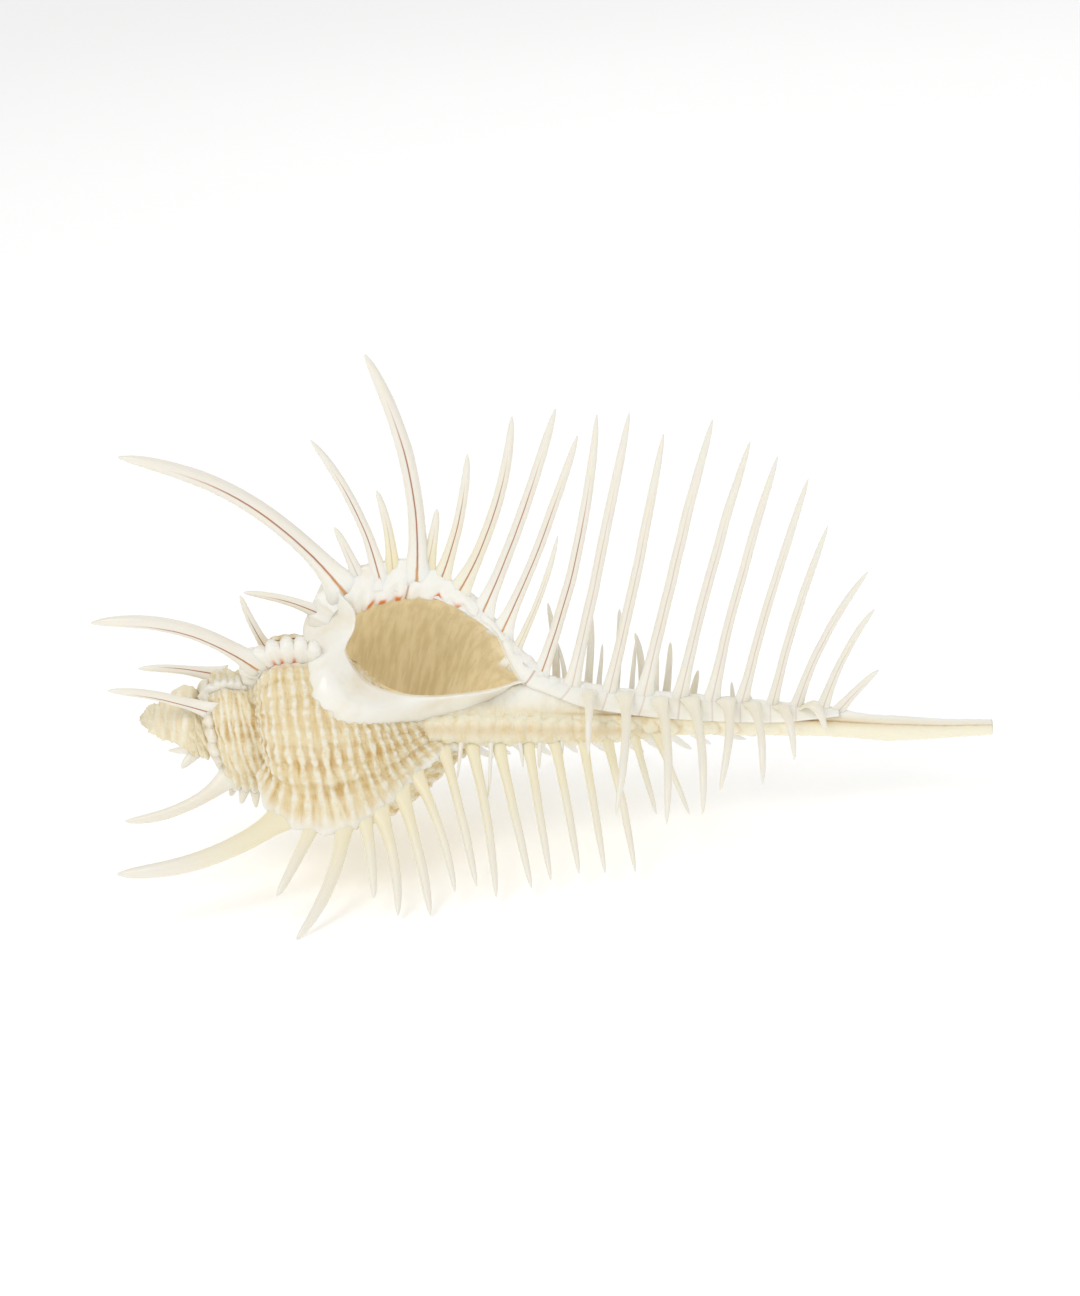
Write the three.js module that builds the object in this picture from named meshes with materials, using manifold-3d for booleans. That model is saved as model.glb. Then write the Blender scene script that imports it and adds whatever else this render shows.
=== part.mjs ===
// Venus comb murex: one sea shell, resting on the tips of its spines.
// Shell frame, in millimetres: x runs down the coiling axis from the apex to the end of the siphonal canal,
// y points from the axis to the outer lip's comb, and z out of the aperture.
// Turn angle: degrees that the whorl has grown since it passed under the outer lip, 360 at the lip's edge.

import * as THREE from 'three';
import { mergeVertices } from 'three/addons/utils/BufferGeometryUtils.js';
import Module from 'manifold-3d';

const wasm = await Module();
wasm.setup();

// ---- Driving dimensions ----
const shellLength = 130;      // apex to the square end of the canal
const lipDirection = 20;      // degrees from y towards z at which the outer lip stands
const lipThickness = 1.5;     // degrees of turn taken up by the step at the lip's edge
const growthRate = 0.45;      // natural log of the whorl's growth in the last turn
const growthSlowing = 0.041;  // how much faster each earlier turn grew
const turnsInSpire = 5;
const varixSpacing = 120;     // degrees of turn between the thick ridges that carry the combs
const wallThickness = 1.4;
const lipFlare = [[45, 1.5], [55, 0]];  // how much the hollow opens out at the lip
const tunnelDepth = 215;      // degrees of turn that the hollow whorl can be followed inwards
const spineSides = 4;
const rootDepth = 1.2;        // how far a spine's root is sunk in the wall

// Half section of the last whorl at the lip: distance along the axis, radius.
const whorlSection = [
  [27.8, 12.3], [28.6, 15.2], [29.8, 17.6], [32, 19.8], [35, 21], [38.7, 21.3], [42.5, 20.8], [46.5, 19.4],
  [50, 17.4], [53.5, 14.6], [57, 11], [60, 7.8], [63, 5.4], [66.5, 3.6], [72, 2], [80, 0.5],
];
const canalSection = [[22, 0.5], [32, 3.2], [42, 3.4], [50, 3.2], [60, 2.8], [70, 2.4], [80, 2.15],
  [90, 1.95], [100, 1.8], [114, 1.85], [124, 1.35], [130, 1.1]];
const canalSag = [[40, 0], [60, 0.5], [85, 0.5], [105, 0], [114, -0.5], [130, -0.6]];  // height of its middle
const varixRise = [[27, 2.6], [34, 4.1], [42.5, 5.2], [47, 4], [50.5, 3.2], [53.5, 2], [57, 0.5], [60, 0.8],
  [64, 1.1], [68, 2.6], [79, 2.1], [85, 1.5], [98, 1.3], [106, 0.9], [110, 0]];

// A comb's spines: root along the axis, root from the axis, length, lean towards the canal in degrees, bow,
// width.
const lipComb = [
  [31, 22, 38.6, -58.2, 4.5, 2.9], [33.9, 23.1, 9, -24, 0.2, 1.4], [36.6, 23.4, 23.7, -24.5, 1.6, 1.7],
  [38.5, 24.3, 13, -9.5, 0.6, 1.5], [41.9, 23.7, 35.3, -11.8, 2.8, 2.6], [43.4, 25.2, 9.2, 10, 0.3, 1.5],
  [45.3, 23.2, 20, 12.2, 1, 1.7], [48, 21.6, 28.3, 16.5, 1.9, 1.9], [51.8, 18.2, 33.5, 18.7, 0.7, 1.9],
  [54.9, 15.4, 32.3, 19.8, 0.6, 1.7], [56, 10.3, 21, 19.5, 0.8, 1.1], [60, 6.3, 43.7, 11.5, 1.7, 1.8],
  [65.3, 4.6, 45.6, 10.5, 0.2, 1.8], [70.8, 3.1, 43.8, 10.4, 0.4, 1.7], [76.5, 3.9, 45.6, 12, -0.3, 1.8],
  [82, 3.2, 43, 12.9, -0.6, 1.7], [86.9, 3.2, 40.6, 12.6, -0.6, 1.6], [91.3, 2.5, 38.1, 13.8, -0.4, 1.5],
  [96, 1.7, 31.4, 14, -0.7, 1.4], [99.8, 1.8, 25.3, 23.3, -1.5, 1.4], [103.9, 2.3, 18.3, 22.8, -1.1, 1.3],
  [105.8, 2.4, 9.2, 40, -0.4, 1.2],
];
const oldComb = [
  [23.4, 16.5, 26.9, -65.7, 3, 3], [27.4, 17, 14.5, -20, 0.4, 1.8], [31.4, 16.6, 22, -15.5, 2, 2.1],
  [34.1, 16.6, 14.4, 9, 0.5, 1.6], [36.3, 15.8, 18.3, 11.5, 1, 1.7], [39.4, 12.3, 22.1, 14, 0.6, 1.7],
  [41.5, 9.6, 21.3, 18.3, 1, 1.4], [45.8, 4.4, 25.4, 13, 0.2, 1.5], [50, 3.8, 27.6, 9.3, 0.6, 1.5],
  [54.2, 3.8, 26.4, 12, 0, 1.5], [58.7, 3.5, 25, 8.9, 0, 1.4], [62.7, 3.1, 24.4, 9.5, 0.2, 1.4],
  [67.2, 2.6, 24.7, 8, 0, 1.3], [70.6, 2.2, 25, 10.3, 0.3, 1.3], [74.8, 1.7, 15.5, 13, 0, 1.1],
  [78.1, 2, 15.7, 19, 0, 1],
];
// Shorter hooked spines that stand between the lip comb's roots and bend across the front of the canal.
const lipHooks = [
  [68.4, 5.1, 11, -1.3, 0, 1.2], [73.6, 5.1, 22.9, -3.5, 0.8, 1.45], [78.9, 4.4, 23.7, 1.7, 0.7, 1.45],
  [83.6, 4.4, 21.7, 3.6, 0.7, 1.45], [89.1, 4.2, 16.8, -4.5, 0.9, 1.4], [93, 3.8, 14.9, 4.3, 0.4, 1.3],
  [97.5, 3.3, 9.2, 10, 0.2, 1.2], [101.6, 3.1, 3.6, 36, 0, 1.2],
];
// Small thin spines on the trailing side of a comb.
const lipSmall = [
  [64.6, 3.6, 9, -8, 0.6, 0.7], [69.7, 3, 9, 4, 0, 0.7], [74.6, 2.7, 10, 5, 0, 0.7],
  [78.6, 2.6, 8.5, 2, 0, 0.6], [90.6, 2.3, 4, -4, 0, 0.6], [94, 2.2, 3.5, -20, 0, 0.6],
];
const oldSmall = [
  [44.8, 4, 3.5, -20, 0, 0.5], [49.3, 3.8, 8.5, -5, 0, 0.6], [53.3, 3.7, 11.5, -1, 0.3, 0.6],
  [57.4, 3.4, 7, 7, 0, 0.6], [60.8, 3.2, 7, 0, 0, 0.7], [64.3, 3, 5, 0, 0, 0.6],
];
// The spire's spines: the same six values, then where the root stands round the axis and where it points.
const spireSpines = [
  [18.4, 12.2, 25.4, -68.5, 4.2, 2.4, 46, 46], [20.6, 12.4, 10.6, -24, -0.5, 1.3, 30, 30],
  [28.4, 17.8, 12.1, -73, 0.8, 1.4, 19, 19], [11, 7.4, 14.8, -75.5, 1, 1.6, 78, 40],
  [11.5, 8, 11.6, -85, 0.5, 1.4, -15, -15], [13.8, 9.4, 16.7, -64, 2, 1.9, 165, 165],
  [9, 5.6, 3.2, -42, 0, 1.2, 170, 170], [7, 4.6, 6, -60, 0.6, 1, -80, -80],
];
const hookTurn = 118;         // degrees round from a comb's plane to where its hooks point
const smallTurn = -38;

// The glazed inner lip: position along the axis, height, depth, half width, half thickness.
const innerLip = [
  [29.6, 18, 5, 1.6, 1.2], [30.4, 12.6, 8.6, 3, 1.6], [32, 7, 9.2, 3.6, 1.8], [35.5, 3.4, 7.8, 3, 1.7],
  [40, 2, 5.6, 2.2, 1.5], [45.5, 1.9, 4.4, 1.9, 1.3], [51.5, 3, 4, 1.5, 1.2], [56, 4.6, 3.6, 1, 0.9],
  [59.5, 5.4, 3, 0.6, 0.6],
];

// ---- Shape rules ----
const radians = THREE.MathUtils.degToRad;

// Straight-line reading of a list of [position, value].
function read(list, at) {
  if (at <= list[0][0]) return list[0][1];
  for (let i = 1; i < list.length; i++) {
    const [x0, v0] = list[i - 1];
    const [x1, v1] = list[i];
    if (at <= x1) return v0 + (v1 - v0) * (at - x0) / (x1 - x0);
  }
  return list[list.length - 1][1];
}

// Size of the whorl a number of turns before the lip, where the lip is 1.
function growth(turns) {
  return Math.exp(growthRate * turns - growthSlowing * turns * turns);
}

// How strongly a ridge stands out at a turn angle: 1 on the ridge, 0 between ridges.
function varixAt(turnAngle, halfWidth) {
  const behind = varixSpacing * Math.round(turnAngle / varixSpacing) - turnAngle;
  return Math.exp(-((behind / halfWidth) ** 2));
}

// Radius of the outside at a place along the axis and a turn angle.
function outerRadius(x, turnAngle) {
  let radius = 0;
  for (let whorl = 0; whorl < turnsInSpire; whorl++) {
    const size = growth(turnAngle / 360 - 1 - whorl);
    const place = x / size;
    if (place < whorlSection[0][0]) continue;
    const stretch = whorl === 0 ? 1 : 0.55;
    const wall = read(whorlSection, place) + stretch * read(varixRise, place) * varixAt(turnAngle, 8);
    radius = Math.max(radius, size * wall);
  }
  const size = turnAngle < 60 ? 1 : growth(turnAngle / 360 - 1);
  const canal = read(canalSection, x) + size * read(varixRise, x / size) * varixAt(turnAngle, 20);
  const tip = x < 2.5 ? 0.75 * x : 0;
  return Math.max(radius, x > 24 ? canal : 0, tip);
}

// A point of the outside in the shell frame. Direction is measured from y towards z.
function onAxisRing(x, radius, direction) {
  const a = radians(direction);
  return new THREE.Vector3(x, read(canalSag, x) + radius * Math.cos(a), radius * Math.sin(a));
}

// ---- Meshes ----

// A closed mesh from rings of points, each ring closed on itself, with a fan over each end.
function ringsMesh(rings) {
  const sides = rings[0].length;
  const points = rings.flat();
  const faces = [];
  for (let i = 0; i + 1 < rings.length; i++) {
    for (let j = 0; j < sides; j++) {
      const a = i * sides + j;
      const b = i * sides + (j + 1) % sides;
      faces.push([a, b, b + sides], [a, b + sides, a + sides]);
    }
  }
  const middle = (ring) => ring.reduce((sum, p) => sum.add(p), new THREE.Vector3()).divideScalar(ring.length);
  const first = points.push(middle(rings[0])) - 1;
  const last = points.push(middle(rings[rings.length - 1])) - 1;
  const lastRow = (rings.length - 1) * sides;
  for (let j = 0; j < sides; j++) {
    const k = (j + 1) % sides;
    faces.push([first, k, j], [last, lastRow + j, lastRow + k]);
  }
  const geometry = new THREE.BufferGeometry().setFromPoints(points);
  geometry.setIndex(faces.flat());
  return geometry;
}

// A closed mesh as a solid for the joins and cuts. A mesh that came out inside out is turned.
function solid(geometry) {
  const merged = mergeVertices(geometry, 1e-4);
  const make = (indices) => new wasm.Manifold(new wasm.Mesh({
    numProp: 3, vertProperties: merged.attributes.position.array, triVerts: new Uint32Array(indices),
  }));
  const indices = [...merged.index.array];
  const made = make(indices);
  return made.volume() > 0 ? made : make(indices.reverse());
}

// Spire, last whorl, ridges and canal as one wall, filled.
function whorls() {
  const stations = [];
  for (let x = 0.8; x < 30; x += 1.7) stations.push(x);
  for (let x = 30; x < 68; x += 2.4) stations.push(x);
  for (let x = 68; x < shellLength; x += 8) stations.push(x);
  stations.push(shellLength);
  const angles = [];
  for (let a = 0; a < 330; a += 20) angles.push(a);
  angles.push(112, 128, 232, 248, 332, 342, 350, 355, 360 - lipThickness);
  angles.sort((a, b) => a - b);
  const ring = (x) => angles.map((a) => onAxisRing(x, outerRadius(x, a), lipDirection + a));
  return solid(ringsMesh(stations.map(ring)));
}

// The hollow that opens at the aperture and follows the whorl inwards.
function tunnel() {
  const upper = [31.2, 33, 36, 40, 44, 48, 52, 55.5, 58.4];
  const lower = [[56.5, 5.4], [51, 4.4], [45, 4.3], [40.5, 5.2], [36.8, 7.8], [33.4, 11]];
  const rings = [];
  for (let back = -6; back <= tunnelDepth; back += 13) {
    const size = growth(-back / 360);
    const flare = Math.exp(-((back / 7) ** 2));
    const roof = upper.map((x) => [x, read(whorlSection, x) - wallThickness + read(lipFlare, x) * flare]);
    rings.push([...roof, ...lower].map(([x, r]) => {
      const direction = lipDirection - lipThickness - back;
      return onAxisRing(x * size, r * size, direction);
    }));
  }
  return solid(ringsMesh(rings));
}

// A flattened band along the inner lip.
function innerLipBand() {
  const centres = innerLip.map(([x, y, z]) => new THREE.Vector3(x, y, z));
  return solid(ringsMesh(innerLip.map(([, , , half, thick], i) => {
    const before = centres[Math.max(0, i - 1)];
    const after = centres[Math.min(centres.length - 1, i + 1)];
    const along = after.clone().sub(before).normalize();
    const out = new THREE.Vector3(0, 0.35, 1).projectOnPlane(along).normalize();
    const across = new THREE.Vector3().crossVectors(along, out);
    return Array.from({ length: 8 }, (_, j) => {
      const a = j * Math.PI / 4;
      return centres[i].clone()
        .addScaledVector(across, half * Math.cos(a)).addScaledVector(out, thick * Math.sin(a));
    });
  })));
}

// The bent centre line of a spine, from its sunk root at 0 to its tip at 1.
function spinePath([x, radius, length, lean, bow], direction, aim = direction, bulge = 0) {
  const turnAngle = (direction - lipDirection + 720 - 0.01) % 360;
  const wall = outerRadius(x, Math.min(turnAngle, 360 - lipThickness));
  const root = onAxisRing(x, Math.min(radius, wall) - rootDepth, direction);
  const outwards = new THREE.Vector3(0, Math.cos(radians(aim)), Math.sin(radians(aim)));
  const sideways = sidewaysOf(aim);
  const axis = new THREE.Vector3(1, 0, 0);
  const chord = axis.clone().multiplyScalar(Math.sin(radians(lean)))
    .addScaledVector(outwards, Math.cos(radians(lean)));
  const bend = axis.clone().multiplyScalar(Math.cos(radians(lean)))
    .addScaledVector(outwards, -Math.sin(radians(lean)));
  const tip = onAxisRing(x, radius - rootDepth, direction).addScaledVector(chord, length + rootDepth);
  return (s) => root.clone().lerp(tip, s)
    .addScaledVector(bend, 4 * bow * s * (1 - s)).addScaledVector(sideways, 4 * bulge * s * (1 - s));
}

function sidewaysOf(aim) {
  return new THREE.Vector3(0, Math.cos(radians(aim - 90)), Math.sin(radians(aim - 90)));
}

// One spine. Direction turns its plane round the axis, and aim turns the way that it points there.
function spine(values, direction, aim = direction, bulge = 0) {
  const [, , length, , , width] = values;
  const path = spinePath(values, direction, aim, bulge);
  const steps = spineSteps(length);
  return solid(ringsMesh(steps.map((s) => {
    const along = path(Math.min(1, s + 0.02)).sub(path(s)).normalize();
    const across = new THREE.Vector3().crossVectors(along, sidewaysOf(aim)).normalize();
    const up = new THREE.Vector3().crossVectors(across, along);
    const flare = 1 + 0.8 * Math.exp(-s * (length + rootDepth) / 2.2);
    const radius = Math.max(0.14, width / 2 * flare * (1 - 0.15 * s) * Math.sqrt(Math.max(0, 1 - s ** 3.5)));
    return Array.from({ length: spineSides }, (_, j) => {
      const a = 2 * Math.PI * j / spineSides;
      return path(s).addScaledVector(across, radius * Math.cos(a)).addScaledVector(up, radius * Math.sin(a));
    });
  })));
}

function spineSteps(length) {
  if (length < 12) return [0, 0.5, 0.95];
  if (length < 26) return [0, 0.18, 0.6, 0.97];
  return [0, 0.14, 0.42, 0.75, 0.98];
}

// A comb of an earlier growth stage, as the lip's comb was when the shell was smaller.
function smaller(comb, size, lengthShare) {
  return comb.map(([x, radius, length, lean, bow, width]) =>
    [x * size, radius * size, length * lengthShare, lean, bow * size, width * size]);
}

const lip = lipDirection;
const back = lipDirection - varixSpacing;
const old = lipDirection + varixSpacing + 8;
const backSize = growth(-1 / 3);
const backComb = smaller(lipComb, backSize, 0.8);

function allSpines() {
  return [
    ...lipComb.map((s) => spine(s, lip)),
    ...backComb.map((s) => spine(s, back)),
    ...oldComb.map((s) => spine(s, old)),
    ...lipHooks.map((s) => spine(s, lip, lip + hookTurn, 3.2)),
    ...smaller(lipHooks, backSize, 0.8).map((s) => spine(s, back, back + hookTurn, 2.4)),
    ...smaller(lipHooks, 0.74, 0.6).map((s) => spine(s, old, old + hookTurn, 1.8)),
    ...lipSmall.map((s) => spine(s, lip + smallTurn, lip - 30)),
    ...oldSmall.map((s) => spine(s, old - 68, old + 18)),
    ...spireSpines.map((s) => spine(s, s[6], s[7])),
  ];
}

// ---- The shell, standing on the tips of three spines ----
let shell = whorls().add(innerLipBand());
for (const one of allSpines()) shell = shell.add(one);
shell = shell.subtract(tunnel());

const { vertProperties, triVerts } = shell.getMesh();
const geometry = new THREE.BufferGeometry();
geometry.setAttribute('position', new THREE.BufferAttribute(new Float32Array(vertProperties), 3));
geometry.setIndex(new THREE.BufferAttribute(new Uint32Array(triVerts), 1));

const tipOf = (values, direction) => spinePath(values, direction)(spineSteps(values[2]).at(-1));
const feet = [tipOf(oldComb[2], old), tipOf(backComb[14], back), tipOf(backComb[4], back)];
feet[1].sub(feet[0]);
feet[2].sub(feet[0]);
const up = new THREE.Vector3().crossVectors(feet[1], feet[2]).normalize();
const ahead = new THREE.Vector3(1, 0, 0).projectOnPlane(up).normalize();
const aside = new THREE.Vector3().crossVectors(up, ahead);
geometry.applyMatrix4(new THREE.Matrix4().makeBasis(ahead, aside, up).transpose());
geometry.computeBoundingBox();
const { min, max } = geometry.boundingBox;
geometry.translate(-(min.x + max.x) / 2, -(min.y + max.y) / 2, -min.z);
geometry.computeVertexNormals();

const chalk = new THREE.MeshStandardMaterial({ color: 0xe9dcc0, roughness: 0.45, metalness: 0 });
const murex = new THREE.Mesh(geometry, chalk);
murex.name = 'murex_shell';

const group = new THREE.Group();
group.add(murex);
export default group;
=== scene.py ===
import math
import bpy
import numpy as np
from mathutils import Matrix


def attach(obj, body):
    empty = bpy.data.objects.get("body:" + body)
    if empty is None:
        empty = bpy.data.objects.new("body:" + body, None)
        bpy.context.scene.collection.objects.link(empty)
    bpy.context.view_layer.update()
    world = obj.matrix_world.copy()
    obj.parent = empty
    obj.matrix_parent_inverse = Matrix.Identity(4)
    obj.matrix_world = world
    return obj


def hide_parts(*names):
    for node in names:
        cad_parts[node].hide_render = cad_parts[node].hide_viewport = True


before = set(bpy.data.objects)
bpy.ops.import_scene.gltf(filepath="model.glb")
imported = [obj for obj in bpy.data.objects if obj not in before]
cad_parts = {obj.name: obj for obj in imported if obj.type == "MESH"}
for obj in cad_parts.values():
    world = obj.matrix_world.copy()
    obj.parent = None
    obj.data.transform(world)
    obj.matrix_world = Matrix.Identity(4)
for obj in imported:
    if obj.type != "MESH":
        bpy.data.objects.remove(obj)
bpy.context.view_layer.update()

# The shell is built in its own frame, in millimetres: x down the coiling axis from the apex, y towards the
# outer lip's comb, z out of the aperture. Directions are degrees from y towards z.
stance = {
    "up": (-0.1127599, 0.9400133, 0.3219631),  # which way is up, in the shell's frame
    "apex": (-62.8515, -6.2955, 26.3832),      # where the apex is, over the floor's middle
    "curveSteps": 24,                          # points worked out between two given ones
}
upWay = np.array(stance["up"]) / np.linalg.norm(stance["up"])
aheadWay = np.array([1.0, 0, 0]) - upWay * upWay[0]
aheadWay /= np.linalg.norm(aheadWay)
turnToFloor = np.array([aheadWay, np.cross(upWay, aheadWay), upWay])


def toFloor(points):
    # from the shell's frame to the floor's, in metres
    return (np.asarray(points, float) @ turnToFloor.T + stance["apex"]) / 1000


def alongCurve(points, count=None, at=None):
    # Catmull-Rom through points, read at even steps or at given shares of its length
    p = np.asarray(points, float)
    p = np.vstack([2 * p[0] - p[1], p, 2 * p[-1] - p[-2]])
    t = np.linspace(0, 1, stance["curveSteps"], endpoint=False)[:, None]
    fine = []
    for i in range(1, len(p) - 2):
        a, b, c, d = p[i - 1], p[i], p[i + 1], p[i + 2]
        square = 2 * a - 5 * b + 4 * c - d
        cube = 3 * b - a - 3 * c + d
        fine.append(0.5 * (2 * b + (c - a) * t + square * t ** 2 + cube * t ** 3))
    fine = np.vstack(fine + [p[-2][None]])
    length = np.r_[0, np.cumsum(np.linalg.norm(np.diff(fine, axis=0), axis=1))]
    share = np.linspace(0, 1, count) if at is None else np.asarray(at, float)
    want = share * length[-1]
    return np.stack([np.interp(want, length, fine[:, k]) for k in range(p.shape[1])], 1)


def readList(pairs, at):
    pairs = np.asarray(pairs, float)
    return np.interp(at, pairs[:, 0], pairs[:, 1])


def smoothRead(pairs, at):
    line = alongCurve(pairs, 400)
    return np.interp(at, line[:, 0], line[:, 1])


def gridFaces(rows, cols, closed=False, flip=False):
    # closed joins the last column to the first
    r, c = np.meshgrid(np.arange(rows - 1), np.arange(cols if closed else cols - 1), indexing="ij")
    d = (c + 1) % cols
    quads = np.stack([r * cols + c, r * cols + d, (r + 1) * cols + d, (r + 1) * cols + c], -1)
    if flip:
        quads = quads[..., ::-1]
    return quads.reshape(-1, 4).tolist()


def inScene(name, data):
    piece = bpy.data.objects.new(name, data)
    bpy.context.scene.collection.objects.link(piece)
    return piece


def gridPiece(name, points, marks, finish, closed=False, flip=False):
    # a piece from rows of points, with a value of every mark at each point for its finish to read
    rows, cols = points.shape[:2]
    mesh = bpy.data.meshes.new(name)
    mesh.from_pydata(toFloor(points.reshape(-1, 3)).tolist(), [], gridFaces(rows, cols, closed, flip))
    for key, values in marks.items():
        values = np.broadcast_to(values, (rows, cols)).astype(np.float32)
        mesh.attributes.new(key, "FLOAT", "POINT").data.foreach_set("value", values.ravel())
    mesh.polygons.foreach_set("use_smooth", [True] * len(mesh.polygons))
    mesh.materials.append(materials[finish])
    mesh.update()
    return inScene(name, mesh)


def ringPoint(x, radius, direction, sag=0):
    a = np.radians(direction)
    return np.stack(np.broadcast_arrays(x, sag + radius * np.cos(a), radius * np.sin(a)), -1)


def near(direction, centre, width):
    # 1 in one direction round the axis, fading to 0 on both sides of it
    d = (direction - centre + 180) % 360 - 180
    return np.exp(-(d / width) ** 2)


def ramp(value, start, full):
    return np.clip((value - start) / (full - start), 0, 1)


# the whorls are swept by "back", which is always degrees of growth before the lip
whorl = {
    "lipDirection": 20,
    "leftDirection": 148,         # where the comb before the lip's stands
    "backDirection": -100,        # where the comb behind the shell stands
    "growthRate": 0.45,
    "growthSlowing": 0.041,
    "section": [(27.2, 10.4), (27.8, 12.6), (28.6, 15.2), (29.8, 17.6), (32, 19.8), (35, 21), (38.7, 21.3),
                (42.5, 20.8), (46.5, 19.4), (50, 17.4), (53.5, 14.6), (57, 11), (60, 7.9), (63, 5.4),
                (66.5, 3.7), (70, 2.6)],
    "rise": [(27, 2.4), (30, 3.8), (34, 4.5), (42, 5.0), (46, 3.9), (50, 2.7), (54, 1.6), (57, 1.1),
             (60, 1.3), (63, 1.4), (66, 2.0), (70, 2.2)],
    "varices": [1.8, 120, 232, 334, 452, 570, 690, 810, 930, 1050, 1170],
    "trail": 9.0,                 # how far a varix slopes back, degrees
    "step": 1.2,                  # how wide the drop in front of it is, degrees
    "hollow": (0.22, 13, 60),     # depth and width of the dip past the drop, and where it is cut off
    "lipRise": (20, 0.72),        # the last varix is lower, up to here, because the lip stands on it
    "oldRise": (345, 0.62),       # varices are lower from here back
    "knobs": (300, 0.2, 2.4),     # from here back they are knobbed: how much, and radians a millimetre
    "covered": (46, 41),          # they end between these, where the mouth's callus lies over them
    "lumps": (500, 750, 2.4),     # where lumps begin and are full, and their height
    "softShoulder": 2.6,          # how far the shoulder is rounded off up the spire
    "softened": (400, 600),       # where that begins and is full
    "spots": [9.5, 12.0, 13.9, 16.8],  # orange marks along the ridge before the body, mm down its section
    "spotsAt": 332.8,
    "spotSize": (0.34, 0.4),      # degrees and millimetres
    "golden": [(268, 7, 1.0), (248, 5, 0.8), (290, 5, 0.4), (72, 6, 0.7), (96, 5, 0.6), (160, 7, 0.7),
               (195, 6, 0.6), (375, 8, 0.6), (420, 7, 0.6), (520, 9, 0.7), (640, 9, 0.6)],
    "body": {"start": 0, "stop": 362, "step": 0.95, "count": 215, "last": 0.93},
    "spire": {"start": 358, "stop": 1760, "step": 2.2, "count": 92, "last": 0.62},
}


def growth(back):
    turns = np.asarray(back, float) / 360
    return np.exp(-whorl["growthRate"] * turns - whorl["growthSlowing"] * turns ** 2)


def varixShape(back):
    # 1 on the crest, sloping back over older shell, with a step down to the shell that grew next
    total = np.zeros_like(np.asarray(back, float))
    stepWide = whorl["step"]
    depth, wide, reach = whorl["hollow"]
    for crest in whorl["varices"]:
        d = back - crest
        older = np.exp(-(np.clip(d, 0, None) / whorl["trail"]) ** 2)
        newer = -depth * np.exp(-((d + stepWide) / wide) ** 2)
        step = np.clip((d + stepWide) / stepWide, 0, 1)
        step = step * step * (3 - 2 * step)
        total += np.where(np.abs(d) < reach, newer * (1 - step) + older * step, 0)
    return total


def sectionLine(count, first=0.0, last=1.0):
    # points along the section, which way is out there, and how far down the section they are
    line = alongCurve(whorl["section"], at=np.linspace(first, last, count))
    run = np.gradient(line, axis=0)
    run /= np.linalg.norm(run, axis=1)[:, None]
    normal = np.stack([-run[:, 1], run[:, 0]], 1)
    whole = alongCurve(whorl["section"], 400)
    length = np.linalg.norm(np.diff(whole, axis=0), axis=1).sum()
    return line, normal, np.linspace(first, last, count) * length


def outside(line, normal, back):
    # points of the outside for section points (columns) at growth angles (rows)
    size = growth(back)[:, None]
    turn, at = back[:, None], line[None, :, 0]
    rise = smoothRead(whorl["rise"], line[:, 0])[None] * varixShape(back)[:, None]
    oldFrom, oldShare = whorl["oldRise"]
    lipTo, lipShare = whorl["lipRise"]
    rise = rise * np.where(turn > oldFrom, oldShare, 1.0) * np.where(turn < lipTo, lipShare, 1.0)
    knobFrom, knobHigh, knobTurn = whorl["knobs"]
    knobbed = (1 + knobHigh * np.cos(at * knobTurn)) * ramp(at, *whorl["covered"])
    rise = rise * np.where(turn > knobFrom, knobbed, 1)
    lumpFrom, lumpFull, lumpHigh = whorl["lumps"]
    lumps = lumpHigh * ramp(turn, lumpFrom, lumpFull) * np.abs(np.sin(np.radians(turn * 4.7 + at * 9))) ** 1.5
    rise = rise + lumps * np.sin(at * 0.5 + turn * 0.04) ** 2
    filled = ramp(turn, *whorl["softened"]) * np.exp(-((at - 29.4) / 2.2) ** 2)
    x = size * (line[:, 0] + normal[:, 0] * rise)
    r = size * (line[:, 1] + normal[:, 1] * rise - whorl["softShoulder"] * filled)
    return ringPoint(x, r, whorl["lipDirection"] - turn)


def turnSteps(start, stop, step):
    # growth angles, closer together on the drop in front of each varix
    backs = list(np.arange(start, stop, step))
    for crest in whorl["varices"]:
        backs += [crest + d for d in (-1.2, -0.9, -0.6, -0.3, 0, 0.4)]
    return np.unique(np.round([b for b in backs if start <= b <= stop] + [start, stop], 3))


def goldBands(back):
    # stronger colour where growth paused
    return sum(strength * np.exp(-((back - at) / wide) ** 2) for at, wide, strength in whorl["golden"])


def grownLength(backs):
    # degrees of growth counted at the size that the shell had then
    return np.r_[0, np.cumsum(np.diff(backs) * growth(backs[1:]))]


def varixEnamel(turned, at):
    # white on each crest, and less of it where the callus hides the varix before
    white = np.zeros_like(turned)
    for crest in whorl["varices"]:
        d = turned - crest
        hidden = (crest > whorl["knobs"][0]) & (at > 44)
        white += np.where(d < 0, np.exp(-(d / 5.0) ** 2), np.exp(-(d / 4.0) ** 2)) * np.where(hidden, 0.3, 1)
    return np.clip(white, 0, 1)


def varixSpots(turned, along):
    turnWide, alongWide = whorl["spotSize"]
    across = ((turned - whorl["spotsAt"]) / turnWide) ** 2
    return np.clip(sum(2.6 * np.exp(-across - ((along - a) / alongWide) ** 2) for a in whorl["spots"]), 0, 1)


def sweepWhorls(name, start, stop, step, count, last):
    backs = turnSteps(start, stop, step)
    line, normal, along = sectionLine(count, 0, last)
    turned = np.repeat(backs[:, None], count, 1)
    marks = {
        "along": along[None], "turned": turned, "path": grownLength(backs)[:, None],
        "size": growth(backs)[:, None], "enamel": varixEnamel(turned, line[None, :, 0]),
        "gold": goldBands(turned), "spot": varixSpots(turned, along[None]), "relief": 1.0,
    }
    return gridPiece(name, outside(line, normal, backs), marks, "ribbed")


building = {}  # the node tree that nodes are added to


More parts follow.
